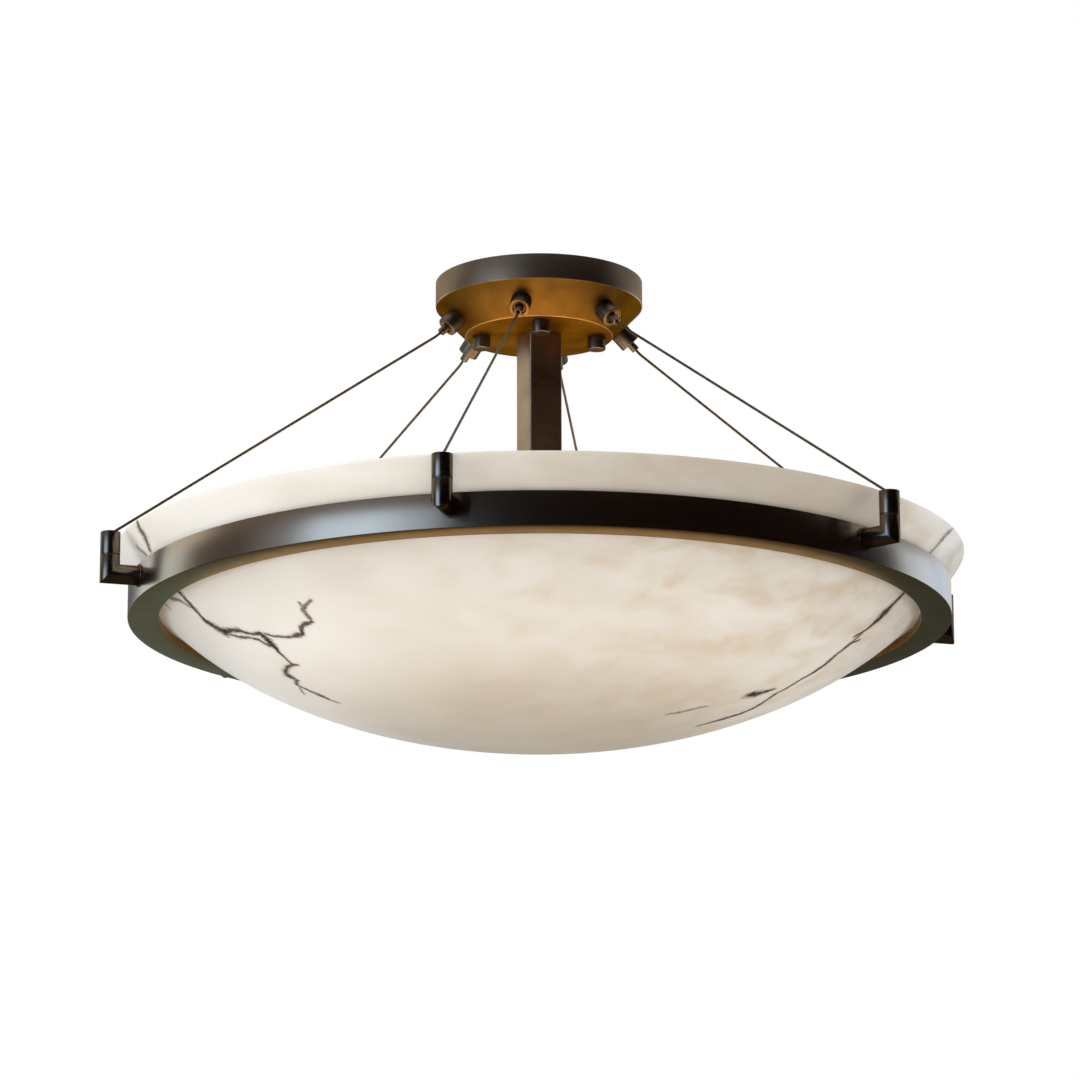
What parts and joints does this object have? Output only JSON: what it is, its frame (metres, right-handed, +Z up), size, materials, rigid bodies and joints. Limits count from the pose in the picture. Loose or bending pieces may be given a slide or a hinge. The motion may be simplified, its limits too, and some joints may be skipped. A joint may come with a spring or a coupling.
{
  "type": "semi flush ceiling light",
  "caption": "Semi flush ceiling light: a wide veined bowl in a dark metal ring, hung by wire ropes from a round stepped canopy, with a square stem and lamps inside the bowl.",
  "frame": {"origin": "centre of the ceiling plate's screw slots, on the ceiling plane", "axes": "+Z up into the ceiling along the stem, -Y towards the elbow numbered one, +X along the line of the ceiling plate's slots"},
  "size_m": [0.6096, 0.646, 0.3408],
  "materials": {
    "canopy_bronze": "dark bronze patina, satin",
    "stem_bronze": "dark bronze patina, satin",
    "ring_bronze": "dark bronze patina with clouded highlights",
    "fitting_bronze": "dark bronze, satin",
    "hub_bronze": "dark bronze, satin",
    "plunger_brass": "aged, satin",
    "wire_rope": "twisted strands, darkened",
    "zinc_steel": "zinc plated, dull",
    "ground_green": "green dyed screw",
    "socket_brass": "bright",
    "bulb_cap_metal": "rolled thread, satin",
    "bulb_glass": "frosted white",
    "holder_ceramic": "glazed",
    "bowl_stone_look": "cast resin with clouded alabaster look and dark veins, translucent",
    "seat_silicone": "matte"
  },
  "bodies": {
    "root": {"bowl_seat": "seat_silicone", "cable_1": "wire_rope", "cable_2": "wire_rope", "cable_3": "wire_rope", "cable_4": "wire_rope", "cable_5": "wire_rope", "cable_6": "wire_rope", "cable_caps": "fitting_bronze", "cable_stops": "zinc_steel", "canopy": "canopy_bronze", "ceiling_plate": "zinc_steel", "elbow_1": "fitting_bronze", "elbow_2": "fitting_bronze", "elbow_3": "fitting_bronze", "elbow_4": "fitting_bronze", "elbow_5": "fitting_bronze", "elbow_6": "fitting_bronze", "elbow_screws": "zinc_steel", "elbow_washers": "fitting_bronze", "grip_body_1": "fitting_bronze", "grip_body_2": "fitting_bronze", "grip_body_3": "fitting_bronze", "grip_body_4": "fitting_bronze", "grip_body_5": "fitting_bronze", "grip_body_6": "fitting_bronze", "grip_studs": "zinc_steel", "ground_screw": "ground_green", "holder_nipples": "zinc_steel", "hub": "hub_bronze", "hub_cover": "hub_bronze", "hub_finial": "hub_bronze", "hub_nipple": "zinc_steel", "lampholder_1": "holder_ceramic", "lampholder_2": "holder_ceramic", "lampholder_3": "holder_ceramic", "plate_studs": "zinc_steel", "ring": "ring_bronze", "socket_shells": "socket_brass", "stem": "stem_bronze", "stem_end_plugs": "zinc_steel", "stem_locknuts": "zinc_steel", "stem_nipple": "zinc_steel"},
    "grip_plunger_1": {"grip_plunger_1": "plunger_brass"},
    "grip_plunger_2": {"grip_plunger_2": "plunger_brass"},
    "grip_plunger_3": {"grip_plunger_3": "plunger_brass"},
    "grip_plunger_4": {"grip_plunger_4": "plunger_brass"},
    "grip_plunger_5": {"grip_plunger_5": "plunger_brass"},
    "grip_plunger_6": {"grip_plunger_6": "plunger_brass"},
    "thumb_nut_1": {"thumb_nut_1": "fitting_bronze"},
    "thumb_nut_2": {"thumb_nut_2": "fitting_bronze"},
    "thumb_nut_3": {"thumb_nut_3": "fitting_bronze"},
    "thumb_nut_4": {"thumb_nut_4": "fitting_bronze"},
    "bulb_1": {"bulb_base_1": "bulb_cap_metal", "bulb_glass_1": "bulb_glass"},
    "bulb_2": {"bulb_base_2": "bulb_cap_metal", "bulb_glass_2": "bulb_glass"},
    "bulb_3": {"bulb_base_3": "bulb_cap_metal", "bulb_glass_3": "bulb_glass"},
    "bowl": {"bowl": "bowl_stone_look"}
  },
  "joints": [
    {"name": "grip_1_press", "type": "slide", "parent": "root", "child": "grip_plunger_1", "axis": [0, 0.7119, 0.7023], "range_m": [0, 0.002], "stiffness_N_per_m": 800},
    {"name": "grip_2_press", "type": "slide", "parent": "root", "child": "grip_plunger_2", "axis": [-0.6165, 0.356, 0.7023], "range_m": [0, 0.002], "stiffness_N_per_m": 800},
    {"name": "grip_3_press", "type": "slide", "parent": "root", "child": "grip_plunger_3", "axis": [-0.6165, -0.356, 0.7023], "range_m": [0, 0.002], "stiffness_N_per_m": 800},
    {"name": "grip_4_press", "type": "slide", "parent": "root", "child": "grip_plunger_4", "axis": [0, -0.7119, 0.7023], "range_m": [0, 0.002], "stiffness_N_per_m": 800},
    {"name": "grip_5_press", "type": "slide", "parent": "root", "child": "grip_plunger_5", "axis": [0.6165, -0.356, 0.7023], "range_m": [0, 0.002], "stiffness_N_per_m": 800},
    {"name": "grip_6_press", "type": "slide", "parent": "root", "child": "grip_plunger_6", "axis": [0.6165, 0.356, 0.7023], "range_m": [0, 0.002], "stiffness_N_per_m": 800},
    {"name": "thumb_nut_1_turn", "type": "hinge", "parent": "root", "child": "thumb_nut_1", "pos_m": [0.00988, -0.04082, -0.0406], "axis": [0, 0, 1], "continuous": true},
    {"name": "thumb_nut_2_turn", "type": "hinge", "parent": "root", "child": "thumb_nut_2", "pos_m": [0.04082, 0.00988, -0.0406], "axis": [0, 0, 1], "continuous": true},
    {"name": "thumb_nut_3_turn", "type": "hinge", "parent": "root", "child": "thumb_nut_3", "pos_m": [-0.00988, 0.04082, -0.0406], "axis": [0, 0, 1], "continuous": true},
    {"name": "thumb_nut_4_turn", "type": "hinge", "parent": "root", "child": "thumb_nut_4", "pos_m": [-0.04082, -0.00988, -0.0406], "axis": [0, 0, 1], "continuous": true},
    {"name": "bulb_1_turn", "type": "hinge", "parent": "root", "child": "bulb_1", "pos_m": [0.0433, -0.025, -0.25], "axis": [0.866, -0.5, 0], "continuous": true},
    {"name": "bulb_2_turn", "type": "hinge", "parent": "root", "child": "bulb_2", "pos_m": [0, 0.05, -0.25], "axis": [0, 1, 0], "continuous": true},
    {"name": "bulb_3_turn", "type": "hinge", "parent": "root", "child": "bulb_3", "pos_m": [-0.0433, -0.025, -0.25], "axis": [-0.866, -0.5, 0], "continuous": true},
    {"name": "bowl_turn", "type": "hinge", "parent": "root", "child": "bowl", "pos_m": [0, 0, -0.25], "axis": [0, 0, 1], "continuous": true}
  ]
}
